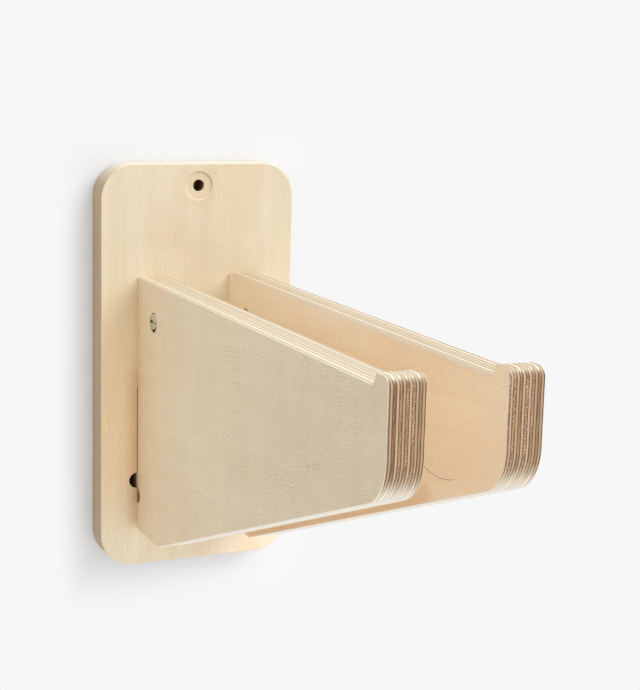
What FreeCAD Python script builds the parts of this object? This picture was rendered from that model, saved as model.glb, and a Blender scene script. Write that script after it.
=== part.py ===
import FreeCAD, Part
import Sketcher

import os

# Wall rack for bar clamps, cut from 18 mm birch plywood.
# A back plate is screwed to the wall. Two equal arms stand out from it, side by side, and the
# clamps hang by their heads on the arms' top edges, with their bars in the gap between the arms.
# Each arm has a tenon in a mortise of the plate, and is drawn tight by one connector bolt,
# which runs from a recess in the plate's back into a barrel nut in the arm.
#
# Frame: +X to the right along the wall, +Y into the wall, +Z up, in millimetres.
# The origin is the centre of the plate's back face. In the sheet, heights are counted
# from the plate's lower edge, and reaches from the plate's front face outwards.

driving_sizes = [
    ("arm_thickness", 18.0, "each arm"),
    ("arm_gap", 39.0, "clear width between the arms, for the clamps' bars"),
    ("arm_reach", 328.0, "end of the arm"),
    ("arm_height", 154.0, "arm at the plate, from its foot to its ledge"),
    ("plate_side_margin", 22.5, "plate, to the left and to the right of the arms"),
    ("plate_foot_margin", 22.0, "plate, below the arms"),
    ("plate_head_margin", 66.0, "plate, above the arms"),
    ("plate_thickness", 18.0, "back plate"),
    ("plate_corner_round", 20.0, "radius of the plate's four corners"),
    ("foot_length", 39.0, "level stretch of the lower edge, beside the plate"),
    ("foot_blend", 12.0, "radius between the level and the sloping stretch of the lower edge"),
    ("heel_round", 3.0, "radius of the arm's lower corner at the plate"),
    ("tip_depth", 46.0, "ledge down to where slope and end face would meet"),
    ("tip_round", 24.0, "radius of the arm's lower end"),
    ("lip_height", 6.0, "lip at the arm's end, above the ledge"),
    ("lip_length", 11.5, "top of the lip, before rounding"),
    ("lip_lean", 3.5, "how far the lip's inner face leans outwards"),
    ("lip_round", 5.0, "radius of the lip's outer corner"),
    ("lip_crest_round", 1.0, "radius of the lip's inner corner"),
    ("lip_root_round", 1.5, "radius where the lip rises from the ledge"),
    ("edge_round", 0.6, "eased arris along the sawn edges"),
    ("tenon_inset", 26.0, "from the arm's foot up to the tenon"),
    ("tenon_height", 60.5, "tenon, upright"),
    ("tenon_setback", 0.5, "end of the tenon, short of the plate's back face"),
    ("mortise_clearance", 0.3, "between tenon and mortise, on each side"),
    ("cutter_radius", 4.75, "round reliefs at the inner corners of mortise and tenon"),
    ("screw_hole_diameter", 7.0, "holes for the wall screws"),
    ("screw_seat_diameter", 16.5, "shallow seats for the screws' heads"),
    ("screw_seat_depth", 1.5, "those seats"),
    ("upper_screw_inset", 13.0, "upper screw hole, below the plate's top edge"),
    ("lower_screw_height", 36.0, "lower screw hole"),
    ("bolt_inset", 22.2, "from the ledge down to the bolt"),
    ("nut_hole_reach", 28.0, "centre of the nut's hole in the arm"),
    ("nut_diameter", 10.0, "barrel nut"),
    ("nut_end_gap", 0.25, "from the arm's faces to the nut's ends"),
    ("nut_hole_play", 1.6, "how much wider the nut's hole is than the nut"),
    ("nut_seat_gap", 0.1, "between the nut and the side of the hole that it is drawn to"),
    ("nut_bevel", 0.6, "bevel round the nut's ends"),
    ("nut_slot_width", 1.8, "screwdriver slot in the nut's left end"),
    ("nut_slot_depth", 1.5, "that slot"),
    ("bolt_diameter", 6.0, "connector bolt"),
    ("bolt_past_nut", 3.7, "bolt's tip, past the nut"),
    ("bolt_point", 0.8, "bevel at the bolt's tip"),
    ("bolt_hole_play", 1.0, "how much wider the bolt's holes are than the bolt"),
    ("bolt_hole_overrun", 6.0, "bolt's hole in the arm, past the bolt's tip"),
    ("thread_clearance", 0.05, "between bolt and nut, all round"),
    ("head_diameter", 15.0, "flat head of the bolt"),
    ("head_thickness", 2.5, "that head"),
    ("head_round", 0.8, "radius of the head's rim"),
    ("head_sink", 1.5, "from the plate's back face to the head"),
    ("recess_play", 3.0, "how much wider the head's recess is than the head"),
    ("key_across_flats", 4.0, "hexagon socket in the head"),
    ("key_depth", 3.5, "that socket"),
]

worked_out_sizes = [
    ("arm_offset", "(arm_gap + arm_thickness) / 2", "middle of each arm, from the plate's middle"),
    ("plate_half_width", "arm_gap / 2 + arm_thickness + plate_side_margin", "plate's side"),
    ("ledge_height", "plate_foot_margin + arm_height", "top edge of the arm"),
    ("plate_height", "ledge_height + plate_head_margin", "top edge of the plate"),
    ("plate_half_height", "plate_height / 2", "origin, above the plate's lower edge"),
    ("tip_height", "ledge_height - tip_depth", "where slope and end face would meet"),
    ("lip_top", "ledge_height + lip_height", "top of the lip"),
    ("lip_crest", "arm_reach - lip_length", "inner end of the lip's top"),
    ("lip_root", "lip_crest - lip_lean", "foot of the lip's inner face"),
    ("tenon_bottom", "plate_foot_margin + tenon_inset", "lower end of the tenon"),
    ("tenon_top", "tenon_bottom + tenon_height", "upper end of the tenon"),
    ("tenon_length", "plate_thickness - tenon_setback", "tenon, behind the arm's shoulder"),
    ("shoulder_relief_height", "tenon_bottom - cutter_radius", "relief in the arm under the tenon"),
    ("mortise_inner", "arm_offset - arm_thickness / 2 - mortise_clearance", "side by the gap"),
    ("mortise_outer", "arm_offset + arm_thickness / 2 + mortise_clearance", "side by the plate's edge"),
    ("mortise_bottom", "tenon_bottom - mortise_clearance", "lower end of the mortise"),
    ("mortise_top", "tenon_top + mortise_clearance", "upper end of the mortise"),
    ("lower_relief_height", "mortise_bottom + cutter_radius", "reliefs beside the mortise's lower end"),
    ("upper_relief_inner", "mortise_inner + cutter_radius", "relief over the mortise's upper end"),
    ("upper_relief_outer", "mortise_outer - cutter_radius", "relief over the mortise's upper end"),
    ("screw_hole_radius", "screw_hole_diameter / 2", "holes for the wall screws"),
    ("screw_seat_radius", "screw_seat_diameter / 2", "seats for the screws' heads"),
    ("upper_screw_height", "plate_height - upper_screw_inset", "upper screw hole"),
    ("axis_height", "ledge_height - bolt_inset", "bolt and nut"),
    ("axis_above_origin", "axis_height - plate_half_height", "bolt and nut"),
    ("nut_radius", "nut_diameter / 2", "barrel nut"),
    ("nut_length", "arm_thickness - 2 * nut_end_gap", "barrel nut, along its own axis"),
    ("nut_end", "nut_length / 2", "nut's end, from its middle"),
    ("nut_slot_floor", "nut_end - nut_slot_depth", "bottom of the slot, from the nut's middle"),
    ("nut_slot_side", "nut_slot_width / 2", "side of the slot, from the nut's axis"),
    ("nut_hole_radius", "(nut_diameter + nut_hole_play) / 2", "nut's hole in the arm"),
    ("nut_draw", "nut_hole_play / 2 - nut_seat_gap", "how far the bolt draws the nut to the plate"),
    ("nut_from_wall", "plate_thickness + nut_hole_reach - nut_draw", "nut's axis, from the wall"),
    ("recess_depth", "head_sink + head_thickness", "recess for the bolt's head in the plate's back"),
    ("recess_radius", "(head_diameter + recess_play) / 2", "that recess"),
    ("head_radius", "head_diameter / 2", "head of the bolt"),
    ("bolt_reach", "nut_hole_reach - nut_draw + nut_radius + bolt_past_nut", "bolt's tip"),
    ("bolt_length", "bolt_reach + plate_thickness - recess_depth", "connector bolt, under its head"),
    ("bolt_radius", "bolt_diameter / 2", "connector bolt"),
    ("bolt_point_start", "bolt_length - bolt_point", "where the bevel at the tip starts"),
    ("bolt_tip_radius", "bolt_radius - bolt_point", "flat end of the tip"),
    ("bolt_hole_radius", "(bolt_diameter + bolt_hole_play) / 2", "bolt's holes in plate and arm"),
    ("bolt_hole_depth", "bolt_reach + bolt_hole_overrun", "bolt's hole in the arm"),
    ("thread_radius", "bolt_radius + thread_clearance", "threaded hole through the nut"),
    ("key_half_flats", "key_across_flats / 2", "middle of the socket's flats"),
    ("key_corner", "key_across_flats / sqrt(3)", "corners of the socket"),
    ("key_half_side", "key_corner / 2", "half of one side of the socket"),
]

doc = FreeCAD.newDocument("ClampRack")
sizes = doc.addObject("Spreadsheet::Sheet", "Sizes")
rows = [(alias, str(value), meaning) for alias, value, meaning in driving_sizes]
rows += [(alias, f"={formula}", meaning) for alias, formula, meaning in worked_out_sizes]
for number, (alias, content, meaning) in enumerate(rows, start=1):
    sizes.set(f"A{number}", meaning)
    sizes.set(f"B{number}", content)
    sizes.setAlias(f"B{number}", alias)
doc.recompute()

# Two lengths count as the same, and an edge as lying in a plane, within this distance.
tolerance = 1e-4


def size(term):
    """The number behind a sheet name, which may carry a minus, or behind 0."""
    if term == "0":
        return 0.0
    value = float(sizes.get(term.lstrip("-")))
    return -value if term.startswith("-") else value


def bind(thing, setting, term):
    """Ties a setting to a sheet name, which may carry a minus."""
    sign = "-" if term.startswith("-") else ""
    thing.setExpression(setting, f"{sign}Sizes.{term.lstrip('-')}")


# ---- bodies and sketches


def new_body(label, **place):
    """A body at a place given as sheet names, on the axes x, y and z."""
    body = doc.addObject("PartDesign::Body", label)
    body.Label = label
    for axis, term in place.items():
        bind(body, f"Placement.Base.{axis}", term)
    return body


def new_sketch(body, name, plane_role, offset=None):
    """A sketch on one of the body's own origin planes, or at an offset in front of it."""
    sketch = body.newObject("Sketcher::SketchObject", f"{body.Label}_{name}")
    plane = next(item for item in body.Origin.OriginFeatures if item.Role == plane_role)
    sketch.AttachmentSupport = [(plane, "")]
    sketch.MapMode = "FlatFace"
    if offset:
        bind(sketch, "AttachmentOffset.Base.z", offset)
    return sketch


# How a sketch's constraints number its axes, and the points of an edge.
level_axis, upright_axis = range(-1, -3, -1)
start_point, end_point, centre_point = range(1, 4)
sketch_origin = (level_axis, start_point)


def hold_point(sketch, geometry, point, across, up, name):
    """Fixes a point at a distance from each axis of its sketch."""
    for kind, term, axis in (("DistanceX", across, upright_axis), ("DistanceY", up, level_axis)):
        if term == "0":
            sketch.addConstraint(Sketcher.Constraint("PointOnObject", geometry, point, axis))
            continue
        held = (geometry, point)
        ends = held + sketch_origin if term.startswith("-") else sketch_origin + held
        number = sketch.addConstraint(Sketcher.Constraint(kind, *ends, abs(size(term))))
        label = f"{name}_{kind.lower()}"
        sketch.renameConstraint(number, label)
        bind(sketch, f"Constraints.{label}", term.lstrip("-"))


def draw_outline(sketch, corners):
    """A closed run of straight edges through corners given as pairs of sheet names."""
    first = sketch.GeometryCount
    points = [FreeCAD.Vector(size(across), size(up), 0) for across, up in corners]
    for start, end in zip(points, points[1:] + points[:1]):
        sketch.addGeometry(Part.LineSegment(start, end))
    for number, (across, up) in enumerate(corners):
        following = first + (number + 1) % len(corners)
        joined = (first + number, end_point, following, start_point)
        sketch.addConstraint(Sketcher.Constraint("Coincident", *joined))
        hold_point(sketch, first + number, start_point, across, up, f"corner{first + number}")


def draw_circle(sketch, across, up, radius):
    """A circle whose centre and radius are sheet names."""
    number = sketch.GeometryCount
    centre = FreeCAD.Vector(size(across), size(up), 0)
    sketch.addGeometry(Part.Circle(centre, FreeCAD.Vector(0, 0, 1), size(radius)))
    constraint = sketch.addConstraint(Sketcher.Constraint("Radius", number, size(radius)))
    sketch.renameConstraint(constraint, f"radius{number}")
    bind(sketch, f"Constraints.radius{number}", radius)
    hold_point(sketch, number, centre_point, across, up, f"centre{number}")


# ---- features


def pad(body, sketch, length, both_ways=False):
    """Thickens a sketch along its normal, or to both sides of its plane."""
    feature = body.newObject("PartDesign::Pad", f"{sketch.Name}_pad")
    feature.Profile = sketch
    feature.SideType = "Symmetric" if both_ways else "One side"
    bind(feature, "Length", length)
    doc.recompute()


def cut_through(body, sketch):
    """Cuts a sketch right through the body, both ways from its plane."""
    return cut(body, sketch, SideType="Symmetric", Type="ThroughAll")


def cut_to_depth(body, sketch, depth, along_normal):
    """Cuts a sketch to a depth, on one side of its plane."""
    return cut(body, sketch, depth, SideType="One side", Reversed=along_normal)


def cut(body, sketch, depth=None, **settings):
    """Cuts a sketch out of its body, and stops the script if that takes nothing away."""
    volume_before = body.Shape.Volume
    feature = body.newObject("PartDesign::Pocket", f"{sketch.Name}_cut")
    feature.Profile = sketch
    for setting, value in settings.items():
        setattr(feature, setting, value)
    if depth:
        bind(feature, "Length", depth)
    doc.recompute()
    if body.Shape.Volume > volume_before - tolerance:
        raise RuntimeError(f"{feature.Name} removes nothing")
    return feature


def dress_edges(body, kind, setting, radius, name, chosen):
    """A fillet or chamfer along those of the body's edges that the function chosen accepts."""
    base = body.Tip
    edges = [f"Edge{number}" for number, edge in enumerate(base.Shape.Edges, 1) if chosen(edge)]
    if not edges:
        raise RuntimeError(f"{body.Label} has no edges for {name}")
    feature = body.newObject(f"PartDesign::{kind}", f"{body.Label}_{name}")
    feature.Base = (base, edges)
    bind(feature, setting, radius)
    doc.recompute()


def round_edges(body, radius, name, chosen):
    dress_edges(body, "Fillet", "Radius", radius, name, chosen)


def near(number, other):
    return abs(number - other) < tolerance


# ---- pieces


def make_backplate():
    """The plate, where the cuts for the right arm are mirrored for the left one."""
    body = new_body("backplate", z="-plate_half_height")
    sheet = new_sketch(body, "outline", "XZ_Plane")
    corners = [
        ("-plate_half_width", "0"),
        ("plate_half_width", "0"),
        ("plate_half_width", "plate_height"),
        ("-plate_half_width", "plate_height"),
    ]
    draw_outline(sheet, corners)
    pad(body, sheet, "plate_thickness")
    round_edges(body, "plate_corner_round", "corners", lambda edge: edge.BoundBox.YLength > tolerance)
    round_edges(body, "edge_round", "arris", lambda edge: edge.BoundBox.YLength < tolerance)

    screw_holes = new_sketch(body, "screw_holes", "XZ_Plane")
    draw_circle(screw_holes, "0", "upper_screw_height", "screw_hole_radius")
    draw_circle(screw_holes, "0", "lower_screw_height", "screw_hole_radius")
    cut_through(body, screw_holes)
    screw_seats = new_sketch(body, "screw_seats", "XZ_Plane", offset="plate_thickness")
    draw_circle(screw_seats, "0", "upper_screw_height", "screw_seat_radius")
    draw_circle(screw_seats, "0", "lower_screw_height", "screw_seat_radius")
    cut_to_depth(body, screw_seats, "screw_seat_depth", along_normal=False)

    mortise = new_sketch(body, "mortise", "XZ_Plane")
    corners = [
        ("mortise_inner", "mortise_bottom"),
        ("mortise_outer", "mortise_bottom"),
        ("mortise_outer", "mortise_top"),
        ("mortise_inner", "mortise_top"),
    ]
    draw_outline(mortise, corners)
    joint_cuts = [cut_through(body, mortise)]
    # The cutter runs out sideways at the lower end, and upwards, behind the arm, at the upper end.
    reliefs = [
        ("lower_relief_inner", "mortise_inner", "lower_relief_height"),
        ("lower_relief_outer", "mortise_outer", "lower_relief_height"),
        ("upper_relief_inner", "upper_relief_inner", "mortise_top"),
        ("upper_relief_outer", "upper_relief_outer", "mortise_top"),
    ]
    for name, across, up in reliefs:
        relief = new_sketch(body, name, "XZ_Plane")
        draw_circle(relief, across, up, "cutter_radius")
        joint_cuts.append(cut_through(body, relief))
    bolt_hole = new_sketch(body, "bolt_hole", "XZ_Plane")
    draw_circle(bolt_hole, "arm_offset", "axis_height", "bolt_hole_radius")
    joint_cuts.append(cut_through(body, bolt_hole))
    recess = new_sketch(body, "head_recess", "XZ_Plane")
    draw_circle(recess, "arm_offset", "axis_height", "recess_radius")
    joint_cuts.append(cut_to_depth(body, recess, "recess_depth", along_normal=True))

    mirrored = body.newObject("PartDesign::Mirrored", "backplate_left_half")
    mirrored.Originals = joint_cuts
    middle = next(item for item in body.Origin.OriginFeatures if item.Role == "YZ_Plane")
    mirrored.MirrorPlane = (middle, [""])
    body.Tip = mirrored
    doc.recompute()
    return body


def edge_through(out, up):
    """Picks the edge that crosses the arm at a corner of its profile."""

    def crosses_there(edge):
        box = edge.BoundBox
        return box.XLength > tolerance and near(box.Center.y, out) and near(box.Center.z, up)

    return crosses_there


def runs_along_a_side(edge):
    """Picks the edges round an arm's two sides, in front of its shoulder."""
    return edge.BoundBox.XLength < tolerance and edge.BoundBox.YMin < -tolerance


def make_arm(label, offset):
    """An arm, whose own origin is at its shoulder, in the middle of its thickness."""
    body = new_body(label, x=offset, y="-plate_thickness", z="-plate_half_height")
    profile = new_sketch(body, "profile", "YZ_Plane")
    corners = [
        ("0", "plate_foot_margin"),
        ("0", "tenon_bottom"),
        ("tenon_length", "tenon_bottom"),
        ("tenon_length", "tenon_top"),
        ("0", "tenon_top"),
        ("0", "ledge_height"),
        ("-lip_root", "ledge_height"),
        ("-lip_crest", "lip_top"),
        ("-arm_reach", "lip_top"),
        ("-arm_reach", "tip_height"),
        ("-foot_length", "plate_foot_margin"),
    ]
    draw_outline(profile, corners)
    pad(body, profile, "arm_thickness", both_ways=True)

    rounds = [
        ("heel", "0", "plate_foot_margin", "heel_round"),
        ("foot", "-foot_length", "plate_foot_margin", "foot_blend"),
        ("tip", "-arm_reach", "tip_height", "tip_round"),
        ("lip", "-arm_reach", "lip_top", "lip_round"),
        ("lip_crest", "-lip_crest", "lip_top", "lip_crest_round"),
        ("lip_root", "-lip_root", "ledge_height", "lip_root_round"),
    ]
    for name, out, up, radius in rounds:
        round_edges(body, radius, name, edge_through(size(out), size(up)))
    # The arris stays sharp on the tenon and along the shoulder, where arm and plate meet.
    round_edges(body, "edge_round", "arris", runs_along_a_side)

    reliefs = new_sketch(body, "reliefs", "YZ_Plane")
    draw_circle(reliefs, "0", "shoulder_relief_height", "cutter_radius")
    draw_circle(reliefs, "cutter_radius", "tenon_top", "cutter_radius")
    cut_through(body, reliefs)
    nut_hole = new_sketch(body, "nut_hole", "YZ_Plane")
    draw_circle(nut_hole, "-nut_hole_reach", "axis_height", "nut_hole_radius")
    cut_through(body, nut_hole)
    bolt_hole = new_sketch(body, "bolt_hole", "XZ_Plane")
    draw_circle(bolt_hole, "0", "axis_height", "bolt_hole_radius")
    cut_to_depth(body, bolt_hole, "bolt_hole_depth", along_normal=True)
    return body


def make_barrel_nut(label, offset):
    """A cross dowel, whose own origin is at its middle. Its slot shows on the left."""
    body = new_body(label, x=offset, y="-nut_from_wall", z="axis_above_origin")
    barrel = new_sketch(body, "barrel", "YZ_Plane")
    draw_circle(barrel, "0", "0", "nut_radius")
    pad(body, barrel, "nut_length", both_ways=True)
    dress_edges(body, "Chamfer", "Size", "nut_bevel", "ends", lambda edge: edge.isClosed())
    thread = new_sketch(body, "thread", "XZ_Plane")
    draw_circle(thread, "0", "0", "thread_radius")
    cut_through(body, thread)
    slot = new_sketch(body, "slot", "XZ_Plane")
    corners = [
        ("-nut_end", "-nut_slot_side"),
        ("-nut_slot_floor", "-nut_slot_side"),
        ("-nut_slot_floor", "nut_slot_side"),
        ("-nut_end", "nut_slot_side"),
    ]
    draw_outline(slot, corners)
    cut_through(body, slot)
    return body


def make_bolt(label, offset):
    """A connector bolt, whose own origin is under its head. It points away from the wall."""
    body = new_body(label, x=offset, y="-recess_depth", z="axis_above_origin")
    half_section = new_sketch(body, "half_section", "YZ_Plane")
    corners = [
        ("head_thickness", "0"),
        ("head_thickness", "head_radius"),
        ("0", "head_radius"),
        ("0", "bolt_radius"),
        ("-bolt_point_start", "bolt_radius"),
        ("-bolt_length", "bolt_tip_radius"),
        ("-bolt_length", "0"),
    ]
    draw_outline(half_section, corners)
    turned = body.newObject("PartDesign::Revolution", f"{label}_turned")
    turned.Profile = half_section
    turned.ReferenceAxis = (half_section, ["H_Axis"])
    doc.recompute()
    outer_side = size("head_thickness")
    round_edges(body, "head_round", "rim", lambda edge: near(edge.BoundBox.YMin, outer_side))
    socket = new_sketch(body, "socket", "XZ_Plane", offset="-head_thickness")
    corners = [
        ("key_corner", "0"),
        ("key_half_side", "key_half_flats"),
        ("-key_half_side", "key_half_flats"),
        ("-key_corner", "0"),
        ("-key_half_side", "-key_half_flats"),
        ("key_half_side", "-key_half_flats"),
    ]
    draw_outline(socket, corners)
    cut_to_depth(body, socket, "key_depth", along_normal=True)
    return body


pieces = [make_backplate()]
for side, offset in (("left", "-arm_offset"), ("right", "arm_offset")):
    pieces.append(make_arm(f"{side}_arm", offset))
    pieces.append(make_barrel_nut(f"{side}_barrel_nut", offset))
    pieces.append(make_bolt(f"{side}_connector_bolt", offset))
doc.recompute()

# ---- checks and files

for item in doc.Objects:
    if "Invalid" in item.State or "Error" in item.State:
        raise RuntimeError(f"{item.Label} failed: {item.State}")
for piece in pieces:
    if piece.Shape.isNull() or not piece.Shape.isValid() or len(piece.Shape.Solids) != 1:
        raise RuntimeError(f"{piece.Label} is not one valid solid")

os.makedirs("parts", exist_ok=True)
for piece in pieces:
    piece.Shape.exportStep(os.path.join("parts", f"{piece.Label}.step"))
    box = piece.Shape.optimalBoundingBox(False)
    extent = f"{box.XLength:.1f} x {box.YLength:.1f} x {box.ZLength:.1f} mm"
    print(f"{piece.Label}: {extent}, {piece.Shape.Volume:.0f} mm3")
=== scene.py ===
import math

import bpy
import numpy as np
from mathutils import Matrix


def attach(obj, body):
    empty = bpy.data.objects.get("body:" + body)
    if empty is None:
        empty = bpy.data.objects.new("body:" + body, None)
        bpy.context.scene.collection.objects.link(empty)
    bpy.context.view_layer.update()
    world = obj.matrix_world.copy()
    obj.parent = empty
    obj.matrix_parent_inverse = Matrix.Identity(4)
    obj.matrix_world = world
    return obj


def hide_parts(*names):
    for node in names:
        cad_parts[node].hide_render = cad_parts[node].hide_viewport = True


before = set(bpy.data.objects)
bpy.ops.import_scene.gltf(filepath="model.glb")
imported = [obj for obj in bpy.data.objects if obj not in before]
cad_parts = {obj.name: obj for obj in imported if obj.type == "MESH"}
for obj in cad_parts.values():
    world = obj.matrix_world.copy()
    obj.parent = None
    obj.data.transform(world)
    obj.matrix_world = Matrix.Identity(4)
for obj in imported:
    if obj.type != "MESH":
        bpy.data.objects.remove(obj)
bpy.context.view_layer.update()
print("frame loaded:", sorted(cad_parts))

mm = 0.001
overrun = 1.0  # how far a cutter runs past a face, in mm
alongY, alongX = (2, 0, 1), (1, 2, 0)  # which of x, y and z a section's own three directions are
fine = {
    "arcSteps": 28, "smallArcSteps": 10, "easeSteps": 4, "edgeRows": 3, "rimSteps": 3, "holeSteps": 72,
    "slotSteps": 4, "headSteps": 6, "discSteps": 24, "samePoint": 1e-4, "samePlane": 0.001,
}


def arc(middle, radius, start, end, steps):
    # point = middle + radius * (cos a, sin a), the angle a running evenly from start to end in degrees
    angle = np.radians(np.linspace(start, end, steps + 1))
    return np.stack([middle[0] + radius * np.cos(angle), middle[1] + radius * np.sin(angle)], -1)


def roundedCorners(corners, radii, steps):
    # every corner becomes an arc that touches both of its sides: it starts radius * tan(turn / 2) before the
    # corner, and its middle lies that far back along the side and one radius square to it; corner x step x 2
    corners, radii = np.asarray(corners, float), np.asarray(radii, float)[:, None]
    ahead = np.roll(corners, -1, 0) - corners
    ahead /= np.linalg.norm(ahead, axis=1)[:, None]
    behind = np.roll(ahead, 1, 0)
    crossed = behind[:, 0] * ahead[:, 1] - behind[:, 1] * ahead[:, 0]
    turn = np.arctan2(crossed, (behind * ahead).sum(1))[:, None]
    side = np.sign(turn) * np.stack([-behind[:, 1], behind[:, 0]], -1)
    middle = corners - behind * radii * np.tan(np.abs(turn) / 2) + side * radii
    first = np.arctan2(-side[:, 1], -side[:, 0])[:, None]
    angle = first + turn * np.linspace(0, 1, steps + 1)
    return middle[:, None] + radii[:, None] * np.stack([np.cos(angle), np.sin(angle)], -1)


def joinedOutline(*runs):
    # the runs one after the other as a closed outline, leaving out points that repeat the one before
    points = np.vstack(runs)
    gap = np.linalg.norm(points - np.roll(points, 1, 0), axis=1)
    return points[gap > fine["samePoint"]]


def mitres(outline):
    # the way inwards at every point of an outline that runs anticlockwise: the sum of its two sides' normals,
    # stretched so that both sides move in by one unit
    ahead = np.roll(outline, -1, 0) - outline
    ahead /= np.linalg.norm(ahead, axis=1)[:, None]
    inward = np.stack([-ahead[:, 1], ahead[:, 0]], -1)
    before = np.roll(inward, 1, 0)
    return (inward + before) / (1 + (inward * before).sum(1))[:, None]


def makeObject(name, points, faces):
    # an object whose mesh has these points, given in mm
    mesh = bpy.data.meshes.new(name)
    mesh.from_pydata((np.asarray(points, float) * mm).tolist(), [], faces)
    mesh.update()
    made = bpy.data.objects.new(name, mesh)
    bpy.context.scene.collection.objects.link(made)
    return made


def closedTube(name, rings):
    # rings x points x 3: each ring is joined to the next by four-sided faces, and both ends are closed
    count, around = rings.shape[:2]
    index = np.arange(count * around).reshape(count, around)
    ahead = np.roll(index, -1, 1)
    walls = np.stack([index[:-1], ahead[:-1], ahead[1:], index[1:]], -1).reshape(-1, 4)
    ends = [index[0, ::-1].tolist(), index[-1].tolist()]
    return makeObject(name, rings.reshape(-1, 3), walls.tolist() + ends)


def carriedAround(name, outline, insets, depths, order):
    # a section carried around an outline: ring k is the outline moved in by insets[k] along its mitres, at
    # depths[k]; order says which of x, y and z the outline's two directions and the depth are
    insets, depths = np.asarray(insets, float), np.asarray(depths, float)
    flat = outline[None] + insets[:, None, None] * mitres(outline)[None]
    depth = np.broadcast_to(depths[:, None, None], flat.shape[:2] + (1,))
    rings = np.concatenate([flat, depth], -1)
    return closedTube(name, rings[..., np.argsort(order)])


def turned(name, radii, heights, middle, order, steps):
    # a profile turned about an axis: ring k has radii[k] at heights[k]; a thread's radii are a ring x step
    # table; order says which of x, y and z the turned circle's two directions and the axis are
    angle = np.arange(steps) * 2 * math.pi / steps
    radii = np.asarray(radii, float)
    radii = radii if radii.ndim == 2 else np.repeat(radii[:, None], steps, 1)
    heights = np.broadcast_to(np.asarray(heights, float)[:, None], radii.shape)
    rings = np.stack([radii * np.cos(angle), radii * np.sin(angle), heights], -1)
    return closedTube(name, rings[..., np.argsort(order)] + np.asarray(middle, float))


def drill(profile, middle, order):
    # a round cutter; profile is rows of radius and height
    return turned("cutter", *np.transpose(profile), middle, order, fine["holeSteps"])


def easedSection(half, ease):
    # the section of a board's edge: a quarter round at each face and straight rows between them
    angle = np.radians(np.linspace(0, 90, fine["easeSteps"] + 1))
    inset, depth = ease * (1 - np.sin(angle)), half - ease * (1 - np.cos(angle))
    between = np.linspace(-(half - ease), half - ease, fine["edgeRows"] + 2)[1:-1]
    insets = np.concatenate([inset, np.zeros(fine["edgeRows"]), inset[::-1]])
    return insets, np.concatenate([-depth, between, depth[::-1]])


def rimRound(radius, face, ease, inward):
    # a hole's rounded rim, from the face into the hole: the radius is radius + ease * (1 - sin a), and the
    # height is face + inward * ease * (1 - cos a), with a from 0 to 90 degrees
    angle = np.radians(np.linspace(0, 90, fine["rimSteps"] + 1))
    return np.stack([radius + ease * (1 - np.sin(angle)), face + inward * ease * (1 - np.cos(angle))], -1)


def carve(piece, cutters):
    # takes the cutters out of the piece, keeps the outcome as its mesh and removes the cutters
    for cutter in cutters:
        cut = piece.modifiers.new("cut", "BOOLEAN")
        cut.operation, cut.solver, cut.object = "DIFFERENCE", "EXACT", cutter
    bpy.context.view_layer.update()
    mesh = bpy.data.meshes.new_from_object(piece.evaluated_get(bpy.context.evaluated_depsgraph_get()))
    piece.modifiers.clear()
    piece.data = mesh
    mesh.name = piece.name
    for cutter in cutters:
        bpy.data.objects.remove(cutter)


def markArris(board, axis, middle, half, ease):
    # 1 on the rounds beside the two flat faces and 0 elsewhere, kept as a point attribute for the wear
    at = np.empty((len(board.data.vertices), 3), np.float32)
    board.data.vertices.foreach_get("co", at.ravel())
    deep = half - np.abs(at[:, axis] / mm - middle)
    onRound = (deep > fine["samePlane"]) & (deep < ease - fine["samePlane"])
    board.data.attributes.new("arris", "FLOAT", "POINT").data.foreach_set("value", onRound.astype(np.float32))


def finishPiece(piece, material, node, sharpAbove):
    # gives the piece its material, hides the CAD node that it stands in for and hangs it on the root body;
    # smooth shading keeps edges sharper than the angle, with flat faces holding their own direction
    piece.data.materials.clear()
    piece.data.materials.append(material)
    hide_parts(node)
    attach(piece, "root")
    print(piece.name, "has", len(piece.data.polygons), "faces")
    piece.data.polygons.foreach_set("use_smooth", np.ones(len(piece.data.polygons), bool))
    piece.data.set_sharp_from_angle(angle=math.radians(sharpAbove))
    piece.modifiers.new("weighted normals", "WEIGHTED_NORMAL").keep_sharp = True


def tone(red, green, blue):
    # a screen colour of 0 to 255 as the linear colour that the shader takes
    value = np.array([red, green, blue]) / 255
    linear = np.where(value <= 0.04045, value / 12.92, ((value + 0.055) / 1.055) ** 2.4)
    return (*linear.tolist(), 1.0)


making = {}  # the shader tree that new nodes go into


def feed(node, inputs):
    # gives the node's sockets, by name or number, the values or links that inputs says
    for key, value in inputs.items():
        if isinstance(value, bpy.types.NodeSocket):
            node.id_data.links.new(value, node.inputs[key])
        else:
            node.inputs[key].default_value = value
    return node


def addNode(kind, inputs=(), **settings):
    # a new node; settings are its own choices
    made = making["tree"].nodes.new(kind)
    for name, value in settings.items():
        setattr(made, name, value)
    return feed(made, dict(inputs))


def calc(operation, *values):
    return addNode("ShaderNodeMath", enumerate(values), operation=operation).outputs[0]


def times(first, second):
    return calc("MULTIPLY", first, second)


def scaled(value, factor, plus):
    # value * factor + plus
    return calc("MULTIPLY_ADD", value, factor, plus)


def minus(first, second):
    return calc("SUBTRACT", first, second)


def size(value):
    # the value without its sign
    return calc("ABSOLUTE", value)


def vectorCalc(operation, *vectors, output=0):
    return addNode("ShaderNodeVectorMath", enumerate(vectors), operation=operation).outputs[output]


def stretch(vector, *factors):
    return vectorCalc("MULTIPLY", vector, factors)


def shift(vector, amount):
    return vectorCalc("ADD", vector, amount)


def fromPlace(point, x, y):
    # the way from the place x, y in mm to the point
    return shift(point, (-x * mm, -y * mm, 0.0))


def lengthOf(vector):
    return vectorCalc("LENGTH", vector, output="Value")


def dot(first, second):
    return vectorCalc("DOT_PRODUCT", first, second, output="Value")


def spun(vector, degrees):
    return addNode("ShaderNodeVectorRotate", {"Vector": vector, "Angle": math.radians(degrees)},
                   rotation_type="Z_AXIS").outputs[0]


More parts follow.
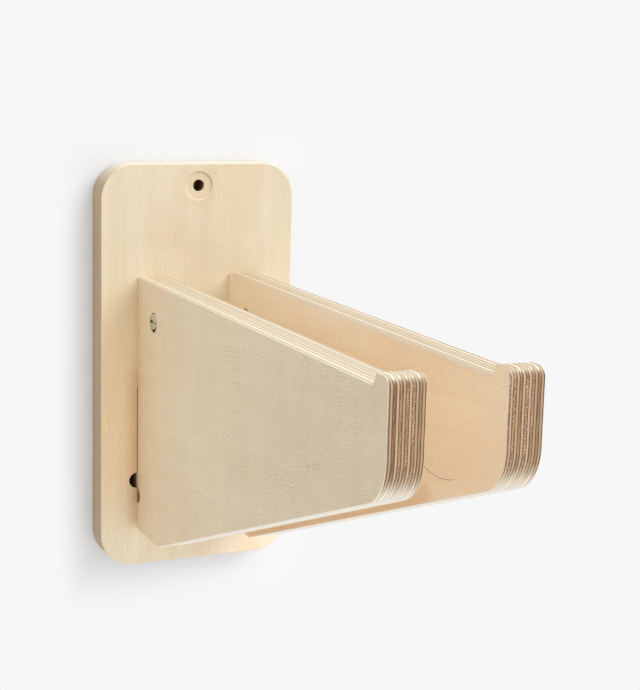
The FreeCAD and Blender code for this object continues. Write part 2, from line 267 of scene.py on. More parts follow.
def split(vector):
    return addNode("ShaderNodeSeparateXYZ", {0: vector}).outputs


def joined(x, y, z):
    return addNode("ShaderNodeCombineXYZ", {0: x, 1: y, 2: z}).outputs[0]


def objectPoint():
    return addNode("ShaderNodeTexCoord").outputs["Object"]


def blend(factor, first, second, mode="MIX"):
    return addNode("ShaderNodeMix", {0: factor, 6: first, 7: second},
                   data_type="RGBA", blend_type=mode).outputs[2]


def shaded(color, value, factor=1.0):
    # the colour multiplied by a grey value
    grey = addNode("ShaderNodeCombineColor", {0: value, 1: value, 2: value}).outputs[0]
    return blend(factor, color, grey, "MULTIPLY")


def either(factor, first, second):
    # first + factor * (second - first)
    return addNode("ShaderNodeMix", {0: factor, 2: first, 3: second}, data_type="FLOAT").outputs[0]


def fade(value, low, high, start=0.0, end=1.0):
    # start below low, end above high, and a smooth step between
    return addNode("ShaderNodeMapRange",
                   {"Value": value, "From Min": low, "From Max": high, "To Min": start, "To Max": end},
                   interpolation_type="SMOOTHSTEP").outputs["Result"]


def noise(vector, scale, detail, roughness=0.5):
    return addNode("ShaderNodeTexNoise", {"Vector": vector, "Scale": scale, "Detail": detail,
                   "Roughness": roughness}).outputs[0]


def grain(vector, along, across, through, *texture):
    # noise on a stretched vector; texture is the noise's scale, detail and roughness
    return noise(stretch(vector, along, across, through), *texture)


def newGroup(name, inputs, outputs):
    # an empty shader group; inputs and outputs name its sockets for each kind
    tree = making["tree"] = bpy.data.node_groups.new(name, "ShaderNodeTree")
    for way, kinds in (("INPUT", inputs), ("OUTPUT", outputs)):
        for kind, labels in kinds.items():
            for label in labels.split():
                tree.interface.new_socket(label, in_out=way, socket_type="NodeSocket" + kind)
    return tree.nodes.new("NodeGroupInput").outputs, tree.nodes.new("NodeGroupOutput")


def useGroup(group, inputs, look=()):
    # the group's outputs; its sockets that are named like a value of the look take that value
    own = {item.name: look[item.name] for item in group.interface.items_tree if item.name in look}
    return addNode("ShaderNodeGroup", {**own, **inputs}, node_tree=group).outputs


def newMaterial(name, sockets):
    # a material with its principled shader; sockets that are the same all over are set here
    material = bpy.data.materials.new(name)
    material.use_nodes = True
    making["tree"] = material.node_tree
    return material, feed(material.node_tree.nodes["Principled BSDF"], sockets)


def finishShader(shader, color, rough, height, strength, distance):
    bump = addNode("ShaderNodeBump", {"Height": height, "Strength": strength, "Distance": distance * mm})
    feed(shader, {"Base Color": color, "Roughness": rough, "Normal": bump.outputs[0]})


# a range is where a value fades in: from, to, and the outcomes at both ends if not 0 and 1; a noise is its
# stretch along the grain, across it and through the board, then its scale, detail and roughness
plies = {
    "period": 3.0 * mm,  # one long-grain ply and one crossed ply
    "longShare": 0.28, "longBlur": 0.008,  # half of the long-grain ply and its blur, as shares of the period
    "glue": 0.115,  # a glue line's half, fading outwards, as a share of the period
    "coreRange": (0.05, 0.16),  # how far from the glue the core of a ply begins
    "wobble": 0.06, "wander": (1, 1, 0.3, 45, 2),  # how far the plies wander, as a share of the period
    "lean": math.radians(-6),  # how far the inner fibres lean from the board's length
    "cutRange": (0.60, 0.97),  # how squarely a cut meets the fibres before it looks like end grain
}
veneerGrain = {
    "warp": (1, 2.2, 1, 9, 2), "warpBy": 0.02, "bands": (2, 24, 1, 3, 3), "figure": (8, 60, 1, 4, 3),
    "bandShare": 0.78, "bandRange": (0.36, 0.64), "flame": (60, 12, 1, 1.2, 3, 0.6), "flameAmount": 0.22,
    "clouds": (1, 2.5, 1, 12, 3), "cloudRange": (0.44, 0.66), "cloudAmount": 0.6,
    "fibres": (230, 1300, 230, 1, 3, 0.6), "hairs": (200, 2600, 200, 1, 1), "hairHeight": 0.3,
    "strokes": (270, 1500, 270), "strokeNoise": (1, 2, 0.6), "strokeStep": (0.0, 0.6, 0.0),
    "strokeRange": (0.05, 0.22, 0.12, 2.4), "strokeAmount": 0.95,
    "rubbed": (1, 1.6, 1, 16, 3), "rubbedRange": (0.40, 0.60, 0.15, 1.0),
    "darkRange": (0.64, 0.76), "darkAmount": 0.4, "dark": tone(150, 120, 88),
    "paleRange": (0.34, 0.24), "paleAmount": 0.5, "pale": tone(250, 242, 224), "roughness": (0.2, 0.42),
}
edgeGrain = {
    "streaks": (70, 70, 1100, 1.6, 4, 0.7), "streakHeight": 0.6, "glueHeight": 0.5, "roughness": (0.2, 0.40),
    "alongStreaks": (1.1, 0.45), "alongAmount": 0.9, "brownStreaks": 3.0, "brownTone": (0.25, -0.62),
    "brownedRange": (0.3, 1.0, 0.0, 0.5),  # some plies are browner than others
    "coredRange": (0.0, 0.5, 0.5, 1.0), "coredAmount": (0.7, 0.3), "crossCore": (0.8, 0.2),
    "blotch": (110, 110, 1000, 1.0, 2), "blotchRange": (0.52, 0.68, 0.0, 0.5),
    "litSideRange": (0.35, 1.0), "litSideAmount": 0.85, "litSideSeam": (-0.75, 1.0),
    "seamRange": (0.0, 1.0, 0.72, 0.95),
    "pores": (900, 900, 900, 1.3, 2, 0.6), "poreHeight": 0.2, "speck": tone(226, 202, 172),
    "speckRange": (0.56, 0.66), "speckyRange": (0.5, 0.9, 0.1, 0.8),
}
flawsAndHoleShade = {
    "wear": (60, 3, 0.6), "wearRange": (0.35, 0.65, 0.4, 1.0),
    "knot": (0.6, 1, 1, 900, 2, 0.6), "knotShape": (0.45, 1, 1), "knotRange": (0.2, 1.8, 1.0, 0.0),
    "knotFlecks": (0.46, 0.62, 0.12, 1.0), "checkJitter": (220, 2), "checkJitterBy": 0.0012,
    "checkRange": (0.3, 1.0, 1.0, 0.0), "checkEnds": (0.6, 1.0, 1.0, 0.0),
    "boreWall": (0.05 * mm, 0.3 * mm, 1.0, 0.0), "boreRim": (-0.4 * mm, 0.0, 1.0, 0.0),
}
white = (1, 1, 1, 1)
surface = {"Color": "Color", "Float": "Height Roughness"}
maskOnly = {"Float": "Mask"}


def makePlyLayers():
    # which ply a point of the board lies in: its vector runs along the face grain, across it and through
    # the board
    given, end = newGroup("plyLayers", {"Vector": "Vector", "Float": "seed"},
                          {"Float": "Long Glue Core Tone"})
    wander = minus(grain(given["Vector"], *plies["wander"]), 0.5)
    level = calc("DIVIDE", split(given["Vector"])[2], plies["period"])
    level = scaled(wander, plies["wobble"], level)
    away = calc("PINGPONG", level, 0.5)
    share, blur = plies["longShare"], plies["longBlur"]
    long = fade(away, share - blur, share + blur, 1.0, 0.0)
    fromGlue = size(minus(away, share))
    glue = fade(fromGlue, 0.0, plies["glue"], 1.0, 0.0)
    core = fade(fromGlue, *plies["coreRange"])
    crossNumber = calc("ADD", calc("FLOOR", level), 0.5)
    number = either(long, crossNumber, calc("ROUND", level))
    number = calc("DIVIDE", calc("ROUND", times(number, 2)), 2)
    random = addNode("ShaderNodeTexWhiteNoise", {"W": calc("ADD", number, given["seed"])},
                     noise_dimensions="1D").outputs[0]
    return feed(end, {"Long": long, "Glue": glue, "Core": core, "Tone": random}).id_data


def makeBirchFace():
    # rotary-cut birch veneer: broad bands along the grain, a soft flame across it, cloudy patches, short
    # strokes where raised fibres catch the light, and fine pale and dark flecks
    given, end = newGroup("birchFace", {
        "Vector": "Vector", "Color": "light deep blush",
        "Float": "figure flame flecks hatch fibres"}, surface)
    g, vector = veneerGrain, given["Vector"]
    bent = shift(vector, joined(0.0, times(grain(vector, *g["warp"]), g["warpBy"]), 0.0))
    flame, clouds = grain(vector, *g["flame"]), grain(vector, *g["clouds"])
    fibres, hairs = grain(vector, *g["fibres"]), grain(vector, *g["hairs"])
    amount = calc("ADD", times(grain(bent, *g["bands"]), g["bandShare"]),
                  times(grain(bent, *g["figure"]), 1 - g["bandShare"]))
    color = blend(times(fade(amount, *g["bandRange"]), given["figure"]), given["light"], given["deep"])
    blush = times(fade(clouds, *g["cloudRange"]), g["cloudAmount"])
    color = blend(blush, color, given["blush"])
    strokes = stretch(vector, *g["strokes"])
    beside = shift(strokes, g["strokeStep"])
    raised = minus(noise(strokes, *g["strokeNoise"]), noise(beside, *g["strokeNoise"]))
    raised = times(raised, fade(size(raised), *g["strokeRange"]))
    rubbed = fade(grain(vector, *g["rubbed"]), *g["rubbedRange"])
    raised = times(times(raised, rubbed), given["hatch"])
    value = scaled(minus(flame, 0.5), times(given["flame"], g["flameAmount"]), 1.0)
    value = scaled(minus(fibres, 0.5), given["fibres"], value)
    color = shaded(color, scaled(raised, g["strokeAmount"], value))
    for kind in ("dark", "pale"):
        amount = times(given["flecks"], g[kind + "Amount"])
        color = blend(times(fade(hairs, *g[kind + "Range"]), amount), color, g[kind])
    height = calc("ADD", times(fibres, 1 - g["hairHeight"]), times(hairs, g["hairHeight"]))
    rough = scaled(fibres, *g["roughness"])
    return feed(end, {"Color": color, "Height": height, "Roughness": rough}).id_data


def makePlyEdge(layers):
    # the sawn edge: a ply cut across its fibres is brown, darker beside the glue and streaked along the ply,
    # one cut along its fibres is pale, and the glue is a thin dark line; the fibres lean a little
    given, end = newGroup("plyEdge", {
        "Vector": "Vector Normal paleWay", "Float": "seed",
        "Color": "along crossedAlong crossedPale across crossedAcross glue pale"}, surface)
    g, vector, lean = edgeGrain, given["Vector"], plies["lean"]
    layer = useGroup(layers, {"Vector": vector, "seed": given["seed"]})
    cuts = []
    for fibre in ((math.cos(lean), math.sin(lean), 0.0), (-math.sin(lean), math.cos(lean), 0.0)):
        cuts.append(fade(size(dot(given["Normal"], fibre)), *plies["cutRange"]))
    longEnd = times(cuts[0], layer["Long"])
    crossEnd = times(cuts[1], minus(1.0, layer["Long"]))
    streaks, pores = grain(vector, *g["streaks"]), grain(vector, *g["pores"])
    # the plies that show their fibres' length
    base = blend(cuts[0], given["crossedPale"], given["crossedAlong"])
    base = blend(layer["Long"], base, given["along"])
    base = shaded(base, scaled(streaks, *g["alongStreaks"]), times(cuts[0], g["alongAmount"]))
    base = blend(fade(layer["Tone"], *g["brownedRange"]), base, given["across"])
    # the long-grain plies that show their ends
    brown = shaded(given["across"],
                   scaled(streaks, g["brownStreaks"], scaled(layer["Tone"], *g["brownTone"])))
    blotch = fade(grain(vector, *g["blotch"]), *g["blotchRange"])
    brown = blend(blotch, brown, given["glue"])
    cored = times(layer["Core"], fade(layer["Tone"], *g["coredRange"]))
    brown = blend(scaled(cored, *g["coredAmount"]), given["glue"], brown)
    color = blend(longEnd, base, brown)
    crossEnd = times(crossEnd, scaled(layer["Core"], *g["crossCore"]))
    color = blend(crossEnd, color, given["crossedAcross"])
    # painted light: edges that face the pale way are paler, and the glue is weaker there
    under = fade(dot(given["Normal"], given["paleWay"]), *g["litSideRange"])
    color = blend(times(under, g["litSideAmount"]), color, given["pale"])
    seam = times(layer["Glue"], fade(cuts[0], *g["seamRange"]))
    color = blend(times(seam, scaled(under, *g["litSideSeam"])), color, given["glue"])
    speck = times(fade(pores, *g["speckRange"]), fade(layer["Tone"], *g["speckyRange"]))
    color = blend(times(speck, longEnd), color, g["speck"])
    height = calc("ADD", times(streaks, g["streakHeight"]), times(pores, g["poreHeight"]))
    height = minus(height, times(layer["Glue"], g["glueHeight"]))
    rough = scaled(streaks, *g["roughness"])
    return feed(end, {"Color": color, "Height": height, "Roughness": rough}).id_data


def makeArrisWear():
    # rubbed arrises: the eased corner is paler in long soft patches
    given, end = newGroup("arrisWear", {"Vector": "Vector", "Float": "Arris wear"}, maskOnly)
    patches = fade(noise(given["Vector"], *flawsAndHoleShade["wear"]), *flawsAndHoleShade["wearRange"])
    mask = times(times(given["Arris"], patches), given["wear"])
    return feed(end, {"Mask": mask}).id_data


def makePinKnot():
    # a pin knot: ragged dark flecks inside a soft oval drawn out along the grain
    given, end = newGroup("pinKnot", {"Vector": "Vector Place", "Float": "Size"}, maskOnly)
    flecks = fade(grain(given["Vector"], *flawsAndHoleShade["knot"]), *flawsAndHoleShade["knotFlecks"])
    offset = vectorCalc("SUBTRACT", given["Vector"], given["Place"])
    far = calc("DIVIDE", lengthOf(stretch(offset, *flawsAndHoleShade["knotShape"])), given["Size"])
    return feed(end, {"Mask": times(fade(far, *flawsAndHoleShade["knotRange"]), flecks)}).id_data


def makeHairlineCheck():
    # a hairline check in the veneer: a thin dark line along y = sag * x * x, fading out at both ends
    given, end = newGroup("hairlineCheck", {"Vector": "Vector", "Float": "Half Sag Width"}, maskOnly)
    x, y, _ = split(given["Vector"])
    curve = times(times(x, x), given["Sag"])
    jitter = minus(noise(given["Vector"], *flawsAndHoleShade["checkJitter"]), 0.5)
    off = scaled(jitter, flawsAndHoleShade["checkJitterBy"], minus(y, curve))
    line = fade(calc("DIVIDE", size(off), given["Width"]), *flawsAndHoleShade["checkRange"])
    run = fade(calc("DIVIDE", size(x), given["Half"]), *flawsAndHoleShade["checkEnds"])
    return feed(end, {"Mask": times(line, run)}).id_data


def makeBoreShade():
    # where painted shade or light goes on the wall of a drilled or routed hole: everything nearer to its axis
    # than its radius and deeper than its rim, where Depth is how far from the board's middle the wall begins
    given, end = newGroup("boreShade", {"Vector": "Vector Place", "Float": "Radius Depth"}, maskOnly)
    offset = stretch(vectorCalc("SUBTRACT", given["Vector"], given["Place"]), 1, 1, 0)
    mask = fade(minus(lengthOf(offset), given["Radius"]), *flawsAndHoleShade["boreWall"])
    deep = minus(size(split(given["Vector"])[2]), given["Depth"])
    return feed(end, {"Mask": times(mask, fade(deep, *flawsAndHoleShade["boreRim"]))}).id_data


plyLayers = makePlyLayers()
birchFace = makeBirchFace()
plyEdge = makePlyEdge(plyLayers)
arrisWear = makeArrisWear()
pinKnot = makePinKnot()
hairlineCheck = makeHairlineCheck()
boreShade = makeBoreShade()
print("shader groups made")

# birch plywood; a board's own look replaces some of these. Places are in mm along the face grain and across
# it, and the veneer whose depth is negative is the one that shows.
birch = {
    "light": tone(239, 223, 193), "deep": tone(228, 203, 163), "blush": tone(237, 210, 176),
    "figure": 0.5, "flame": 0.2, "flecks": 0.3, "hatch": 0.3, "fibres": 0.2, "faceLean": 0.0,
    "along": tone(252, 238, 210), "crossedAlong": tone(196, 164, 133), "crossedPale": tone(242, 224, 196),
    "across": tone(158, 126, 86), "crossedAcross": tone(210, 177, 131), "glue": tone(84, 50, 18),
    # painted light: cut edges that face the pale way, here the undersides, are paler
    "pale": tone(239, 231, 216), "paleWay": (0.0, -1.0, 0.0), "wear": 0.14, "worn": tone(244, 231, 209),
    "faceRange": (0.8, 0.97),  # how squarely a surface looks out before it counts as veneer
    "bump": (0.6, 0.12),  # strength and depth in mm
    "seats": (),  # each with its place and radius
    # a seat's wall is painted shade (rim) where it faces down, fading to painted light (pale) where it faces
    # up
    "seatReach": 10, "rim": tone(176, 146, 108), "rimRange": (-0.5, 0.2),
    "bores": (), "scorch": tone(120, 70, 34),  # each with its place, radius, strength of the painted shade and wall's start
    "knots": (), "knotTone": tone(120, 96, 72), "knotAmount": 0.42,  # each with its place, depth and size
    "checks": (), "checkTone": tone(128, 92, 60), "checkAmount": 0.6,  # place, half length, sag in 1/m, width
}


def boardFrame(order, middle):
    # the point and the surface's direction along the face grain, across it, and through the board
    given = addNode("ShaderNodeTexCoord").outputs
    placed = []
    for socket, centre in ((given["Object"], middle), (given["Normal"], 0.0)):
        parts = split(socket)
        through = minus(parts[order[2]], centre)
        placed.append(joined(parts[order[0]], parts[order[1]], through))
    return placed


def veneerColor(point, color, look):
    # the veneer's painted light drift along the board, its tinted patches (mostly painted light or shade), its
    # pin knots and its checks
    length, _, depth = split(point)
    shown = fade(depth, -mm, mm, 1.0, 0.0)
    start, nearTint, end, farTint = look["drift"]
    drift = blend(fade(length, end * mm, start * mm), (*farTint, 1.0), (*nearTint, 1.0))
    drift = blend(shown, (*look["hiddenTint"], 1.0), drift)
    color = blend(1.0, color, drift, "MULTIPLY")
    for both, x, y, turn, halfX, halfY, soft, tint in look["patches"]:
        # full strength in a turned box about x, y, and fading out over soft around it
        offset = vectorCalc("ABSOLUTE", spun(fromPlace(point, x, y), -turn))
        offset = stretch(fromPlace(offset, halfX, halfY), 1, 1, 0)
        mask = fade(lengthOf(vectorCalc("MAXIMUM", offset, (0, 0, 0))), soft * mm, 0.0)
        mask = mask if both else times(mask, shown)
        color = blend(mask, color, (*tint, 1.0), "MULTIPLY")
    for x, y, z, across in look["knots"]:
        knot = useGroup(pinKnot, {"Vector": point, "Place": (x * mm, y * mm, z * mm), "Size": across * mm})
        color = blend(times(knot["Mask"], look["knotAmount"]), color, look["knotTone"])
    for x, y, half, sag, width in look["checks"]:
        check = useGroup(hairlineCheck, {"Vector": fromPlace(point, x, y), "Half": half * mm, "Sag": sag,
                         "Width": width * mm})
        mask = times(check["Mask"], times(shown, look["checkAmount"]))
        color = blend(mask, color, look["checkTone"])
    return color


def boreMask(point, x, y, radius, depth):
    return useGroup(boreShade, {"Vector": point, "Place": (x * mm, y * mm, 0.0), "Radius": radius * mm,
                    "Depth": depth * mm})["Mask"]


def plywood(name, order, middle, look):
    # veneer on the two faces, and elsewhere the plies' cut edges with the walls of holes; order and middle say
    # how the board lies
    material, shader = newMaterial(name, {})
    point, way = boardFrame(order, middle)
    upward, _, outward = split(way)
    seeded = shift(point, (look["seed"], look["seed"] * 0.7, 0.0))  # each board has its own part of the noise
    parts = split(seeded)
    layer = useGroup(plyLayers, {"Vector": point}, look)
    veneerPoint = addNode("ShaderNodeMix", {0: layer["Long"], 4: joined(parts[1], parts[0], parts[2]),
                          5: seeded}, data_type="VECTOR").outputs[1]
    face = useGroup(birchFace, {"Vector": spun(veneerPoint, look["faceLean"])}, look)
    edge = useGroup(plyEdge, {"Vector": point, "Normal": way}, look)
    sides = edge["Color"]
    # painted shade and light on the seats' walls: dark where they face down, pale where they face up
    for x, y, radius in look["seats"]:
        rim = blend(fade(upward, *look["rimRange"]), look["rim"], look["pale"])
        sides = blend(boreMask(point, x, y, radius, look["seatReach"]), sides, rim)
    # painted shade on the walls of holes
    for x, y, radius, strength, start in look["bores"]:
        bore = boreMask(point, x, y, radius, start)
        sides = blend(times(bore, strength), sides, look["scorch"])
    onFace = fade(size(outward), *look["faceRange"])
    color = blend(onFace, sides, veneerColor(point, face["Color"], look))
    arris = addNode("ShaderNodeAttribute", attribute_name="arris").outputs["Fac"]
    worn = useGroup(arrisWear, {"Vector": point, "Arris": arris}, look)["Mask"]
    rough = either(onFace, edge["Roughness"], face["Roughness"])
    height = either(onFace, edge["Height"], face["Height"])
    finishShader(shader, blend(worn, color, look["worn"]), rough, height, *look["bump"])
    return material


plate = {
    "width": 120.0, "height": 242.0, "thickness": 18.0, "cornerRadius": 20.0, "ease": 0.6, "flare": 0.25,
    "screwHoles": (108.0, -85.0), "screwRadius": 3.5, "seatRadius": 8.25, "seatDepth": 0.9, "seatEase": 0.5,
    "boltAt": (28.5, 32.8), "boltRadius": 3.5, "recessRadius": 9.0, "recessDepth": 4.0,
    "slotX": (19.3, 37.7), "slotTop": -12.2, "cutter": 4.75, "slotReliefZ": -68.55,
}
# a patch is whether both veneers have it, its place, its turn in degrees, its half size, how far it fades out
# and its tint, and most patches are painted light or shade; a painted light drift is where it starts, the tint
# there, where it ends and the tint there
plateLook = {
    **birch, "seed": 3.1, "fibres": 0.06, "wear": 0.4, "along": tone(216, 188, 152),
    "across": tone(214, 188, 156), "crossedAcross": tone(168, 136, 100), "pale": tone(255, 244, 222),
    # painted light: the plate's edges that face up are paler
    "paleWay": (1.0, 0.0, 0.0),
    # painted light: the plate is darker at the top and lighter at the bottom; its back veneer is a little
    # darker
    "drift": (90, (0.89, 0.915, 0.94), -100, (1.03, 1.05, 1.085)), "hiddenTint": (0.9, 0.91, 0.93),
    "patches": [
        # painted warm bounce light on the left part of the plate's face
        (0, -15, -50, 0, 20, 0, 70, (1.13, 1.08, 0.99)),
        (0, -48, -37.5, 0, 44, 0, 9, (0.83, 0.73, 0.605)),  # painted shade beside the left arm
        # painted shade beside the left arm, higher up
        (0, 24, -37.5, 0, 18, 0, 9, (0.92, 0.85, 0.77)),
        (0, 32, 13, 0, 12, 4, 24, (1.1, 1.1, 1.09)),  # painted light between the arms, lifting their shade
        # painted light by the right arm's root
        (0, 41, 17, 0, 9, 2, 7, (1.07, 1.12, 1.15)),
        (0, 60, -22, 0, 4, 8, 15, (1.06, 1.075, 1.09)),
        # the shadow in the notches
        *((0, -77.7, side * 28.5, 0, 3.6, 7.2, 3.0, (0.33, 0.24, 0.13)) for side in (-1, 1)),
        *((0, z, 0, 0, 4, 4, 14, (0.98, 0.91, 0.84)) for z in plate["screwHoles"]),
    ],
    # painted shade and light on the screw seats' walls
    "seats": [(z, 0, plate["seatRadius"] + 0.4) for z in plate["screwHoles"]],
    # painted shade on the walls of the screw holes and of the slots' reliefs
    "bores": [
        *((z, 0, plate["screwRadius"], 1.0, 6.0) for z in plate["screwHoles"]),
        *((plate["slotReliefZ"], side * x, plate["cutter"], 1.0, 8.8)
          for side in (-1, 1) for x in plate["slotX"]),
    ],
}


def slotOutline(near, far):
    # the through slot for a tenon, with the cutter's round reliefs in its corners; anticlockwise in (z, x)
    high, reliefZ = plate["slotTop"], plate["slotReliefZ"]
    r, steps = plate["cutter"], fine["arcSteps"]
    lowerNear = arc((reliefZ, near), r, 180, 360, steps)
    lowerFar = arc((reliefZ, far), r, 0, 180, steps)
    meet = math.degrees(math.asin(min((far - near) / 2 / r - 1, 1)))
    upperNear = arc((high, near + r), r, -90, meet, steps)
    upperFar = arc((high, far - r), r, -meet, 90, steps)
    return joinedOutline(lowerNear, [(high, near)], upperNear, upperFar, [(high, far)], lowerFar)


def makePlate():
    # a rounded rectangle carried through the thickness with eased faces, less the stepped screw holes, the
    # bolt holes with their recesses, and the slots
    p, t, flare = plate, plate["thickness"], plate["flare"]
    halfX, halfZ = p["width"] / 2, p["height"] / 2
    corners = [(-halfZ, -halfX), (halfZ, -halfX), (halfZ, halfX), (-halfZ, halfX)]
    outline = joinedOutline(*roundedCorners(corners, [p["cornerRadius"]] * 4, fine["arcSteps"]))
    insets, depths = easedSection(t / 2, p["ease"])
    board = carriedAround("backplateBoard", outline, insets, depths - t / 2, alongY)
    hole, seat, floor = p["screwRadius"], p["seatRadius"], p["seatDepth"] - t
    profile = np.vstack([(seat + p["seatEase"], -t - overrun), rimRound(seat, -t, p["seatEase"], 1),
                         (seat, floor), rimRound(hole, floor, flare, 1), rimRound(hole, 0, flare, -1)[::-1],
                         (hole + flare, overrun)])
    cutters = [drill(profile, (0, 0, z), alongY) for z in p["screwHoles"]]
    hole, recess, floor = p["boltRadius"], p["recessRadius"], -p["recessDepth"]
    profile = np.vstack([(hole, -t - overrun), (hole, floor), (recess, floor),
                         rimRound(recess, 0, flare, -1)[::-1], (recess + flare, overrun)])
    x, z = p["boltAt"]
    for side in (-1, 1):
        cutters.append(drill(profile, (side * x, 0, z), alongY))
        slot = slotOutline(*sorted(side * edge for edge in p["slotX"]))
        cutters.append(carriedAround("cutter", slot, [0, 0], [-t - overrun, overrun], alongY))
    carve(board, cutters)
    markArris(board, 1, -t / 2, t / 2, p["ease"])
    return board


arm = {
    "middle": 28.5, "thickness": 18.0, "ease": 0.6, "shoulder": -18.0, "tip": -346.0, "tipCorner": 9.0,
    "tipRadius": 24.0, "foot": -99.0, "footBend": -57.0, "bendRadius": 12.0, "heelRadius": 3.0, "ledge": 55.0,
    "lipRoot": -331.0, "lipRootRadius": 1.5, "lipCrest": -334.5, "lipCrestRadius": 1.0, "lipTop": 61.0,
    "lipRadius": 5.0, "tenonEnd": -0.5, "tenonLow": -73.0, "tenonHigh": -12.5, "tenonRadius": 0.8,
    "cutter": 4.75, "nutHoleAt": (-46.1, 32.4), "nutHoleRadius": 5.8, "nutHoleFlare": 0.08,
    "boltHoleRadius": 3.5, "boltHoleEnd": -60.0,
}
armLook = {
    **birch,
    "patches": [
        (1, -6, -43, 0, 9.4, 31, 2.6, (0.46, 0.325, 0.24)),  # painted shade on the tenon's sides
        (0, -18.1, -38, 0, 0.9, 25.3, 0.5, (0.6, 0.49, 0.37)),  # painted shade in the seam at the slot
    ],
    # painted shade on the walls of the notch and of the nut's hole
    "bores": [(arm["shoulder"], arm["tenonLow"] - arm["cutter"], arm["cutter"], 0.8, 8.8),
              (*arm["nutHoleAt"], arm["nutHoleRadius"], 0.9, 8.8)],
}
leftLook = {
    **armLook, "seed": 7.4, "figure": 0.3, "flame": 0.7, "flecks": 0.6, "hatch": 0.42, "faceLean": 4.0,
    "light": tone(235, 215, 181), "deep": tone(224, 198, 159), "blush": tone(232, 207, 172),
    "along": tone(255, 245, 221), "crossedAcross": tone(228, 204, 163),
    # painted light: lighter near the plate and darker towards the tip
    "drift": (-40, (1.04, 1.035, 1.03), -330, (0.895, 0.917, 0.93)), "hiddenTint": (1.0, 1.0, 1.0),
    "patches": [*armLook["patches"], (0, -30, -30, 0, 12, 60, 80, (1.02, 0.99, 0.95))],
    "knots": [(-276.5, 6.3, -9, 1.7), (-268.0, 3.6, -9, 0.9)],
}
rightLook = {
    **armLook, "seed": 11.9, "figure": 0.45, "flame": 0.35, "flecks": 0.45, "hatch": 0.2, "faceLean": 3.0,
    "light": tone(247, 230, 202), "deep": tone(239, 215, 177), "blush": tone(245, 218, 187),
    # painted light: lighter near the plate; painted shade dims the outer veneer, which faces the lamp
    "drift": (-40, (1.13, 1.17, 1.22), -330, (1.0, 0.98, 0.98)), "hiddenTint": (0.82, 0.84, 0.87),
    "patches": [*armLook["patches"], (0, -168, -57, -20.5, 115, 3, 11, (0.9, 0.765, 0.63))],  # painted shade along the foot, where the left arm shades it
    "checks": [(-286.0, -1.3, 20.0, 10.5, 0.35)],
}


def armOutline():
    # the arm seen from its side, anticlockwise in (y, z): tip, foot, heel, notch, tenon, relief, top, lip
    a, r = arm, arm["cutter"]
    y, low, high = a["shoulder"], a["tenonLow"], a["tenonHigh"]
    table = np.array([
        (a["tip"], a["tipCorner"], a["tipRadius"]), (a["footBend"], a["foot"], a["bendRadius"]),
        (y, a["foot"], a["heelRadius"]), (y, low - 2 * r, 0), (y, low, 0),
        (a["tenonEnd"], low, a["tenonRadius"]), (a["tenonEnd"], high, a["tenonRadius"]),
        (y + 2 * r, high, 0), (y, high, 0), (y, a["ledge"], 0),
        (a["lipRoot"], a["ledge"], a["lipRootRadius"]), (a["lipCrest"], a["lipTop"], a["lipCrestRadius"]),
        (a["tip"], a["lipTop"], a["lipRadius"])])
    big, small = (roundedCorners(table[:, :2], table[:, 2], fine[k]) for k in ("arcSteps", "smallArcSteps"))
    notch = arc((y, low - r), r, -90, -270, fine["arcSteps"])
    relief = arc((y + r, high), r, 0, -180, fine["arcSteps"])
    return joinedOutline(big[0], big[1], small[2], notch, small[5], small[6], relief, *small[9:12], big[12])


def makeArm(name, side):
    # the arm's outline carried through the thickness with eased faces, less the nut's hole and the bolt's
    a, half, centre = arm, arm["thickness"] / 2, side * arm["middle"]
    insets, depths = easedSection(half, a["ease"])
    board = carriedAround(name, armOutline(), insets, depths + centre, alongX)
    r, flare = a["nutHoleRadius"], a["nutHoleFlare"]
    profile = np.vstack([(r + flare, -half - overrun), rimRound(r, -half, flare, 1),
                         rimRound(r, half, flare, -1)[::-1], (r + flare, half + overrun)])
    y, z = a["nutHoleAt"]
    nutHole = drill(profile, (centre, y, z), alongX)
    r = a["boltHoleRadius"]
    boltHole = drill([(r, a["boltHoleEnd"]), (r, a["shoulder"] + overrun)], (centre, 0, z), alongY)
    carve(board, [nutHole, boltHole])
    markArris(board, 0, centre, half, a["ease"])
    return board


plateMaterial = plywood("birchPlywoodPlate", alongY, -plate["thickness"] / 2 * mm, plateLook)
leftMaterial = plywood("birchPlywoodLeftArm", alongX, -arm["middle"] * mm, leftLook)
rightMaterial = plywood("birchPlywoodRightArm", alongX, arm["middle"] * mm, rightLook)
finishPiece(makePlate(), plateMaterial, "backplate", sharpAbove=35)
for name, side, node, material in (("leftArmBoard", -1, "left_arm", leftMaterial),
                                   ("rightArmBoard", 1, "right_arm", rightMaterial)):
    finishPiece(makeArm(name, side), material, node, sharpAbove=35)
print("boards made")

zinc = {
    "light": tone(232, 228, 208), "dark": tone(204, 198, 172), "worn": tone(246, 244, 234),
    "dirtAndShade": tone(70, 58, 40), "clouds": (260, 3, 0.6), "cloudRange": (0.35, 0.7),
    "lineRange": (0.55, 0.75, 0.0, 0.4),
    # a worn rim that is also a painted highlight just inside the clean radius, and dirt with painted shade
    # past it
    "wornHighlightBand": (-0.45, -0.2), "wornHighlightAmount": 0.7, "dirtAndShadeBand": (-0.1, 0.1),  # about the clean radius
    "slotBand": (-0.5, -0.3), "slotRange": (2.4 * mm, 4.0 * mm, 0.15, 0.9),  # about the end, and outwards
    "roughness": (0.22, 0.16), "bump": (0.3, 0.03),
}
nut = {
    "at": (28.5, -45.3, 32.8), "radius": 5.0, "length": 18.2, "threadRadius": 3.05, "steps": 96,
    "slotWidth": 1.5, "slotDepth": 0.9, "slotRound": 0.25,
    # the end from its flat over a low crown and a bevel to the side: how far in from the radius, and how deep
    "end": ((1.1, 0.0), (1.0, 0.005), (0.92, 0.02), (0.45, 0.21), (0.4, 0.25), (0.06, 0.65), (0.0, 0.75)),
}
nutLook = {
    **zinc, "light": tone(214, 220, 204), "dark": tone(188, 194, 172), "lines": (200, 60, 900, 2.0, 3, 0.6),
    "axis": (0, *nut["at"][1:]), "square": (0, 1, 1), "end": nut["length"] / 2,
    "clean": 4.65,  # as far as the bevel
}


